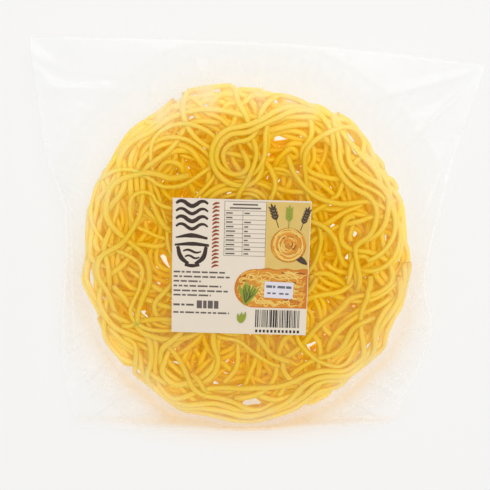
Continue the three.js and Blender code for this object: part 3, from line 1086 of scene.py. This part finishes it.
def point_at(start, angle, distance, half_width):
    """A stroke's point at a distance from another, in a direction."""
    return start[0] + distance * math.cos(angle), start[1] + distance * math.sin(angle), half_width


def grain_ear(x, y, way, pairs, size):
    """An ear of wheat: a stem, pairs of pointed grains along it, and one at its top."""
    stem = [point_at((x, y), way, reach * size, STEM_HALF_WIDTH) for reach in (-2.5, pairs)]
    made = [stem]
    for i in range(pairs):
        joint = point_at((x, y), way, i * size, 0)
        for side in (-GRAIN_SLANT, GRAIN_SLANT):
            made.append([point_at(joint, way + side, share * size, width * size) for share, width in GRAIN])
    top_grain = [(pairs - 0.6 + share, width) for share, width in GRAIN]
    made.append([point_at((x, y), way, share * size, width * size) for share, width in top_grain])
    return made


dark_leaves = grain_ear(20.0, 29.0, 1.9, 4, 1.9) + grain_ear(35.6, 27.2, 1.25, 5, 1.7)
dark_leaves += spray(38.8, 3.0, 5, 8.5, 2.5, 0.5, 0.8)
print_strokes("print_dark_leaves", dark_leaves, "4A3524", layer=2)
green_leaves = spray(3.0, -22.4, 11, 15.5, 1.35, 1.0, 0.8) + grain_ear(27.4, 28.4, 1.55, 4, 1.8)
green_leaves += spray(1.2, -33.6, 3, 7.5, 1.57, 0.9, 1.1)
print_strokes("print_green", green_leaves, "96A22A", layer=6)
print_strokes("print_dark_green", spray(3.4, -21.4, 8, 13.5, 1.3, 0.9, 0.28), "586020", layer=7)

# %% [markdown]
# ### The date sticker
# A small sticker of thinner, cooler white paper lies on the label, with two rows of dashes in a
# grey-blue ink. It lies on the same wave as the label, so the same functions make it, and it is
# lifted clear of the inks under it.

# %% Date sticker
STICKER_SIZE = (17.0, 9.9)
STICKER_TURN = -0.06
STICKER_THICKNESS = PAPER_THICKNESS * 0.6
STICKER_LIFT = INK_LIFT + 8.5 * LAYER_LIFT
STAMPED_ROWS = {  # how high each row lies and how tall it is: x and width of its dashes
    (1.2, 1.5): ((-7.4, 3.4), (-3.5, 1.4), (-0.8, 4.4), (4.2, 3.2)),
    (-2.6, 1.0): ((-6.6, 2.0), (-3.6, 2.0), (0.4, 2.6), (4.0, 2.0)),
}
sticker_low, sticker_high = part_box("date_sticker")
sticker_centre = (sticker_low + sticker_high) / 2 - nest_middle
STICKER_MIDDLE = (sticker_centre.x / MM, sticker_centre.y / MM)
sticker_paper = paper_material("matt_sticker_paper", "DDD6DA", "E4DFE4")
sticker_mesh = paper_sheet(
    "sticker_sheet", STICKER_SIZE, STICKER_THICKNESS, STICKER_MIDDLE, STICKER_TURN, STICKER_LIFT
)
finish_piece("sticker_sheet", sticker_mesh, sticker_paper, "date_sticker", smooth=False)
stamp = bmesh.new()
for (y, height), dashes in STAMPED_ROWS.items():
    for x, width in dashes:
        box_mark(stamp, x, y, width, height)
stamp_mesh = mesh_from(stamp, "sticker_print")
lay_on_paper(stamp_mesh, STICKER_MIDDLE, STICKER_TURN, STICKER_LIFT + STICKER_THICKNESS + 0.02)
stamp_ink = paper_material("printing_ink_sticker", "6A6B78", "5F606C")
finish_piece("sticker_print", stamp_mesh, stamp_ink, "date_sticker", smooth=False)

# %% [markdown]
# ## The film
# The bag is two sheets of clear polypropylene film, sealed all round. Each sheet lies on the nest,
# leaves it at the shoulder in a straight line, and meets the other at half height in a flat
# margin. It could be cloth-simulated, but its creases are sharp and few, so it is drawn: a
# grid is rolled into a closed double skin, and one function then says how high each place is.

# %% The bag's edge, read from the frame's own bag
film_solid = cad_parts["bag"].data
solid_points = (np.array([v.co for v in film_solid.vertices]) - np.array(nest_middle)) / MM
solid_angles = np.arctan2(solid_points[:, 1], solid_points[:, 0])
solid_reach = np.hypot(solid_points[:, 0], solid_points[:, 1])
directions = np.unique(np.round(solid_angles, 3))
edge_reach = np.array([solid_reach[np.abs(solid_angles - d) < 0.01].max() for d in directions])
print("the bag's edge is known in", len(directions), "directions")


def edge_radius(angle):
    """How far the bag's edge is from the nest's middle in a direction."""
    return np.interp(angle, directions, edge_reach, period=2 * np.pi)


# %% A rolled double skin
FILM_TURNS = 720
FILM_CLEARANCE = 1.6  # between the noodles and the film at the nest's rim
NEST_STATIONS = np.linspace(0, 0.8, 11)
MARGIN_STATIONS = np.linspace(0.8, 2.0, 43)[1:]  # 1 is the rim of the nest, and 2 the bag's edge
AT_EDGE = 1.999  # stations beyond this are the bag's edge


def rolled_skin():
    """A flat closed skin: the upper sheet at height 1 and the lower one at height -1."""
    out = np.concatenate([NEST_STATIONS, MARGIN_STATIONS])
    outline = np.concatenate([out, out[-2::-1]])
    sheet = np.concatenate([np.ones(len(out)), -np.ones(len(out) - 1)])
    shape = bmesh.new()
    bmesh.ops.create_grid(shape, x_segments=FILM_TURNS, y_segments=len(outline) - 1, size=0.5)
    for vertex in shape.verts:
        angle = 2 * math.pi * vertex.co.x
        row = round((vertex.co.y + 0.5) * (len(outline) - 1))
        vertex.co = (outline[row] * math.cos(angle), outline[row] * math.sin(angle), sheet[row])
    bmesh.ops.remove_doubles(shape, verts=shape.verts, dist=1e-5)
    for edge in shape.edges:  # the seal is sharp, and all else is smooth
        edge.smooth = any(math.hypot(*vertex.co[:2]) < AT_EDGE for vertex in edge.verts)
    return mesh_from(shape, "bag_film")


# %% [markdown]
# The creases are what makes clear film show. Short random ones fan out from the nest, where the
# flat film has to take up the round form. Long ones cross the corners, and a few run along the
# nest, where the film is pulled tight. Each is a straight ridge with a sharp top that fades at
# both ends.

# %% Creases
creases = random.spawn(1)[0]
FAN_CREASES = 110
FAN_STARTS = (0.97, 1.02)  # times the radius at which the film passes the nest
FAN_LENGTHS = (12, 40)
FAN_LEAN = 0.07  # from straight out, in radians
FAN_HEIGHTS, FAN_HALF_WIDTHS = (-0.8, 1.0), (1.2, 2.6)
# The long creases: start and end in millimetres from the nest's middle, height and half width.
LONG_CREASES = [
    ((-123, 103), (-62, 99), 1.2, 5.0),
    ((-74, 96), (-117, 62), 0.9, 5.0),
    ((-126, 126), (-96, 106), 0.9, 6.0),
    ((-60, 124), (10, 116), 0.8, 7.0),
    ((134, 112), (60, 92), 1.2, 4.0),
    ((134, 108), (84, 60), 1.0, 2.4),
    ((134, 104), (104, 20), 0.9, 2.4),
    ((88, -108), (60, -86), 1.0, 2.0),
    ((98, -92), (70, -74), 0.9, 2.0),
    ((-106, -110), (-70, -82), 1.1, 2.0),
    ((-108, -86), (-84, -64), 1.0, 2.0),
    ((-86, -73), (-24, -101), 0.8, 1.5),
    ((-70, -88), (-16, -106), 0.7, 1.4),
    ((50, -104), (92, -107), 0.7, 1.5),
    ((60, -101), (100, -74), 0.7, 1.6),
    ((-106, 30), (-108, -58), 0.7, 1.8),
]


def film_rim(angle):
    """The radius at which the film passes round the nest in a direction."""
    even = 1 / np.hypot(np.cos(angle) / HALF_X, np.sin(angle) / HALF_Y)
    return even * np.maximum(outline_share(np.cos(angle), np.sin(angle)), 1) + FILM_CLEARANCE


def draw_creases():
    """All creases as rows: start, end, height, half width."""
    rows = [(*start, *end, height, half) for start, end, height, half in LONG_CREASES]
    for _ in range(FAN_CREASES):
        angle = creases.uniform(-np.pi, np.pi)
        rim = film_rim(angle)
        near = rim * creases.uniform(*FAN_STARTS)
        far = min(rim + creases.uniform(*FAN_LENGTHS), edge_radius(angle) - 1)
        lean = angle + creases.normal(0, FAN_LEAN)
        start = (near * math.cos(angle), near * math.sin(angle))
        end = (far * math.cos(lean), far * math.sin(lean))
        rows.append((*start, *end, creases.uniform(*FAN_HEIGHTS), creases.uniform(*FAN_HALF_WIDTHS)))
    return rows


def crease_height(rows, x, y):
    """The height that creases add together at each place."""
    total = np.zeros_like(x)
    for x0, y0, x1, y1, height, half in rows:
        along_x, along_y = x1 - x0, y1 - y0
        length = math.hypot(along_x, along_y)
        t = ((x - x0) * along_x + (y - y0) * along_y) / length**2
        aside = np.abs((x - x0) * along_y - (y - y0) * along_x) / length
        fade = np.clip(np.minimum(t, 1 - t) * 4 + 0.2, 0, 1) * (t > -0.05) * (t < 1.05)
        total += height * fade * np.clip(1 - aside / half, 0, 1)
    return total


# %% [markdown]
# A taut sheet takes the shortest way. It lies on the nest's round shoulder, leaves it, and runs
# straight to where it meets the other sheet. Of all the lines from that meeting point to the
# shoulder, the steepest is the one that only touches it, and the film leaves the nest there. A
# little sag keeps the free stretch from looking like card.

# %% How the film falls from the nest to the margin
SHEET_GAP = 0.25  # half the space between the two sheets in the margin
LEAST_MARGIN = 2.0
SKIRT_REACH = 24.0  # from the nest's rim to where the sheets meet
SAG = 0.12
profile_shares = np.linspace(0, 0.995, 60)
profile_heights = HALF_Z * fullness(profile_shares)


def film_heights(share, meets_at):
    """Height of a taut sheet above the nest's middle, at a share of the way to the nest's rim.

    The two sheets meet at meets_at, which is such a share too.
    """
    slopes = profile_heights[None, :] / (meets_at[:, None] - profile_shares[None, :])
    touch = slopes.argmax(1)
    steepest = slopes[np.arange(len(touch)), touch]
    span = np.clip((share - profile_shares[touch]) / (meets_at - profile_shares[touch]), 0, 1)
    free = steepest * np.clip(meets_at - share, 0, None) * (1 - SAG * np.sin(np.pi * span) * 2 * span)
    return np.where(share <= profile_shares[touch], HALF_Z * fullness(share), free)


# %% [markdown]
# Where the film gathers at the nest's shoulders it is wrinkled and doubled, and there it veils the
# noodles a little. The veil is made strongest at the top edge, as painted light where the key lamp
# lights the nest's top rim. Over one corner it is folded double. Below the nest, and along the hem at
# the bag's foot, the film is painted with a warm shadow, tinted like light that came through the
# noodles. The skin carries both as values for its material: the veil and the warmth.

# %% The film's veil and warmth
VEIL_SHARE, VEIL_WIDTH = 0.97, 0.10  # where the veil is thickest, and how wide it is
VEIL_STREAKS = [(5, 0.2), (9, 0.2), (23, 0.15), (41, 0.15)]  # how many round the nest, strength
MARGIN_HAZE = 0.45
FOLD_X, FOLD_Y, FOLD_HAZE = -55.0, 101.0, 0.15  # the film is double over the corner beyond this place
FOLD_FADE_X, FOLD_FADE_Y = 50.0, 1.2  # how soon the fold is full, in millimetres
# the painted warm shadow along the hem at the bag's foot
HEM_Y, HEM_WIDTH = -107.0, 3.6


def veil_strength(share, angle):
    """How much the film veils, at a share of the way to the nest's rim in a direction."""
    band = np.exp(-(((share - VEIL_SHARE) / VEIL_WIDTH) ** 2))
    streaks = sum(size * np.sin(count * angle + count) for count, size in VEIL_STREAKS)
    # painted light: the veil is made stronger towards the top edge, where the key lamp lights the nest's
    # rim
    at_top = np.clip(np.sin(angle), 0, 1) ** 3
    margin = MARGIN_HAZE * np.clip((share - 1.02) / 0.12, 0, 1)
    x, y = (share * film_rim(angle) * way for way in (np.cos(angle), np.sin(angle)))
    inward = np.clip((FOLD_X - x) / FOLD_FADE_X, 0, 1)
    fold = FOLD_HAZE * np.clip((y - FOLD_Y) / FOLD_FADE_Y, 0, 1) * inward**2 * (3 - 2 * inward)
    return band * np.clip(0.5 + streaks, 0, 1) * (0.4 + 0.6 * at_top) + margin + fold


def painted_warm_shade_strength(share, angle):
    """How strongly the film is painted with a warm shadow, in the same places: close to the nest, further
    out and at the hem.
    """
    # painted shade: a warm tint on the film below the nest and along the hem
    at_foot = np.clip(0.3 - np.sin(angle), 0, 1)
    beyond_rim = np.clip(share - 1, 0, None)
    near_rim = np.exp(-((beyond_rim / 0.07) ** 2))
    wide = np.exp(-((beyond_rim / 0.22) ** 2))
    y = share * film_rim(angle) * np.sin(angle)
    hem = np.exp(-(((y - HEM_Y) / HEM_WIDTH) ** 2)) * np.clip(1.6 - share, 0, 1)
    off_nest = np.clip((share - 0.93) / 0.07, 0, 1)
    return np.clip(at_foot * (0.6 * near_rim + 0.3 * wide) + 0.8 * hem, 0, 1) * off_nest


# %% Shape the film
RIPPLE = 0.9  # how high the margin's slow waves are, in millimetres
CORNER_CURL = 6.0
CURL_FROM, CURL_FADE = 118, 50  # the edge curls where it is further out than this
OWN_CREASES = 0.4  # how much of its own creases each sheet shows over the nest's shoulder


def shape_film(mesh):
    """Moves the flat rolled skin to its place, sheet by sheet."""
    x, y, sheet = read_points(mesh).T.astype(float)
    out, angle = np.hypot(x, y), np.arctan2(y, x)
    rim, edge = film_rim(angle), edge_radius(angle)
    radius = np.where(out <= 1, out * rim, rim + (out - 1) * (edge - rim))
    meets = np.minimum(rim + SKIRT_REACH, edge - LEAST_MARGIN) / rim
    height = film_heights(radius / rim, meets)
    x, y = radius * np.cos(angle), radius * np.sin(angle)
    side = np.where(sheet > 0, 1.0, -1.0)
    margin = np.clip(out - 1, 0, 1)
    shared = crease_height(draw_creases(), x, y) * np.clip(margin * 6, 0, 1)
    own = crease_height(draw_creases(), x * side, y) * np.clip(height / 3, 0, 1)
    own *= np.clip((out - 0.97) * 8, 0, 1)
    wave = RIPPLE * np.sin(x / 17 + 1) * np.sin(y / 21) * margin
    corner = np.clip((edge - CURL_FROM) / CURL_FADE, 0, 1)
    curl = CORNER_CURL * corner**2 * margin**2 * np.sign(np.sin(angle))
    gap = np.where(out > AT_EDGE, 0, SHEET_GAP)
    z = side * (height + gap + OWN_CREASES * np.abs(own)) + shared + wave + curl
    write_points(mesh, np.column_stack([x, y, z]))
    for name, strength in {"veil": veil_strength, "warmth": painted_warm_shade_strength}.items():
        write_value(mesh, name, strength(radius / rim, angle))
    mesh.update()
    return mesh


# %% [markdown]
# ### Clear polypropylene film
# Cast polypropylene film is nearly invisible flat on. It shows where it stands steep to the eye:
# there it mirrors the studio. So the see-through share falls at grazing angles. A faint haze in
# patches is the scuffing that every handled bag has, and the veil where it is gathered is
# stronger, with painted light added at the top edge. Where the skin says so, the film is painted a
# warm tint, a painted warm shadow at the pack's foot. A very faint glow stands for the light that
# the haze scatters.

# %% Material of the film
HAZE_SIZE = 30.0  # of the scuffed patches, in millimetres
HAZE_LEVELS = (0.4, 0.75)  # of the noise, between which a patch grows dense
HAZE_ALPHA = (-0.015, 0.03)  # between the patches and in them
FACING_ALPHA, VEIL_ALPHA, WARM_ALPHA = 0.45, 0.38, 0.3


def film_material():
    """Clear film that turns milky at grazing angles and where it is gathered, with painted light at the top
    edge and a painted warm shadow where it is warm.
    """
    material, tree, shader = start_material(
        "clear_polypropylene_film", Roughness=0.1, IOR=1.49, Emission_Strength=0.05
    )
    facing = add_node(tree, "ShaderNodeLayerWeight", Blend=0.25).outputs["Facing"]
    veil_with_painted_light, painted_warm_shade = value_of(tree, "veil"), value_of(tree, "warmth")
    haze = noise(tree, HAZE_SIZE, 4.0, Distortion=0.8)
    alpha = rescale(tree, haze, *HAZE_LEVELS, *HAZE_ALPHA)
    for source, share in ((facing, FACING_ALPHA), (veil_with_painted_light, VEIL_ALPHA), (painted_warm_shade, WARM_ALPHA)):
        alpha = calculate(tree, "MULTIPLY_ADD", source, share, alpha, use_clamp=True)
    tree.links.new(alpha, shader.inputs["Alpha"])
    pale = mix(tree, veil_with_painted_light, linear("FFFFFF"), linear("F9FAFA"))
    tree.links.new(mix(tree, painted_warm_shade, pale, linear("FFD488")), shader.inputs["Base Color"])
    return material


finish_piece("bag_film", shape_film(rolled_skin()), film_material(), "bag")

# %% [markdown]
# ## The studio
# The pack is shown on a bright pale table. The floor glows evenly, as a light table does, so the
# gaps between noodles show light through the nest. It reflects little, because a paler board would
# throw the noodles' colour back as a halo. Only at the pack's foot its glow is painted warmer, a
# painted warm shadow tinted like light that came through the noodles. A wide soft lamp beyond the
# pack's top edge throws a soft shadow towards the viewer, a weak lamp fills in from the left, and a
# disc under the nest shines up through it. A pale surround does the rest.

# %% Floor
FLOOR_SIZE = 4.0
FLOOR_DROP = 0.0005  # the pack stands clear of the floor by this
# the painted warm shadow on the floor: its middle and half sizes
FOOT_WAY = 0.108  # from the nest's middle to the middle of the warm patch
FOOT_HALF = (0.125, 0.034, 1)  # half sizes of that patch


def floor_material():
    """White board that glows, with a painted warm shadow at the pack's foot."""
    material, tree, shader = start_material(
        "matt_white_board", Roughness=0.9, Emission_Strength=0.595, Base_Color=linear("9C9C9D")
    )
    place = add_node(tree, "ShaderNodeTexCoord").outputs["Object"]
    foot = (nest_middle.x, nest_middle.y - FOOT_WAY, 0)
    around = add_node(
        tree, "ShaderNodeMapping", {"vector_type": "TEXTURE"}, Vector=place, Location=foot, Scale=FOOT_HALF
    ).outputs[0]
    distance = add_node(tree, "ShaderNodeVectorMath", {"operation": "LENGTH"}, n0=around).outputs["Value"]
    # painted shade: the floor's glow turns warmer at the pack's foot
    painted_warm_shade = rescale(tree, distance, 0.0, 1.0, 1.0, 0.0, interpolation_type="SMOOTHSTEP")
    colour = mix(tree, painted_warm_shade, linear("FFFEFC"), linear("FFEACF"))
    tree.links.new(colour, shader.inputs["Emission Color"])
    return material


ground = bmesh.new()
bmesh.ops.create_grid(ground, x_segments=8, y_segments=8, size=FLOOR_SIZE / 2)
floor_mesh = bpy.data.meshes.new("floor")
ground.to_mesh(floor_mesh)
ground.free()
floor_mesh.materials.append(floor_material())
floor = bpy.data.objects.new("floor", floor_mesh)
floor.location.z = -FLOOR_DROP
bpy.context.scene.collection.objects.link(floor)
print("floor:", FLOOR_SIZE, "m square")


# %% Lamps and surround
LAMP_TARGET = Vector((0, 0, 0.02))


def soft_lamp(name, place, size, power):
    """A square soft lamp that faces the pack."""
    light = bpy.data.lights.new(name, "AREA")
    light.size = size
    light.energy = power
    lamp = bpy.data.objects.new(name, light)
    lamp.location = place
    lamp.rotation_euler = (LAMP_TARGET - Vector(place)).to_track_quat("-Z", "Y").to_euler()
    lamp.visible_camera = False
    bpy.context.scene.collection.objects.link(lamp)
    return lamp


under_lamp = soft_lamp("table_lamp", (nest_middle.x, nest_middle.y, -0.0002), size=0.17, power=0.1)
under_lamp.data.shape = "DISK"
under_lamp.rotation_euler = (math.pi, 0, 0)  # it shines straight up
soft_lamp("key_lamp", (0.25, 0.4, 1.35), size=1.0, power=8.5)
soft_lamp("fill_lamp", (-0.9, -0.4, 0.9), size=0.9, power=0.8)
world = bpy.data.worlds.new("pale_surround")
bpy.context.scene.world = world
world.use_nodes = True
surround = world.node_tree.nodes["Background"].inputs
surround["Color"].default_value = linear("FFFFFF")
surround["Strength"].default_value = 0.58
bpy.context.scene.view_settings.view_transform = "Standard"
bpy.context.scene.view_settings.look = "None"
print("lamps:", [light.name for light in bpy.data.lights])

# %% [markdown]
# The camera looks down on the label from 0.55 m, tilted 13 degrees. Its lens was worked out from
# the width of the nest in the photograph.

# %% Camera
CAMERA_DISTANCE = 0.55
CAMERA_TILT = math.radians(13)
LENS = 66.5
AIM_X, AIM_Y = -1.2, 7.5  # the picture's middle, in millimetres from the nest's middle
camera_data = bpy.data.cameras.new("camera")
camera_data.lens = LENS
camera = bpy.data.objects.new("camera", camera_data)
aim = nest_middle + Vector((AIM_X, AIM_Y, 0)) * MM
camera.location = aim + CAMERA_DISTANCE * Vector((0, math.sin(CAMERA_TILT), math.cos(CAMERA_TILT)))
camera.rotation_euler = (-CAMERA_TILT, 0, 0)
bpy.context.scene.collection.objects.link(camera)
bpy.context.scene.camera = camera
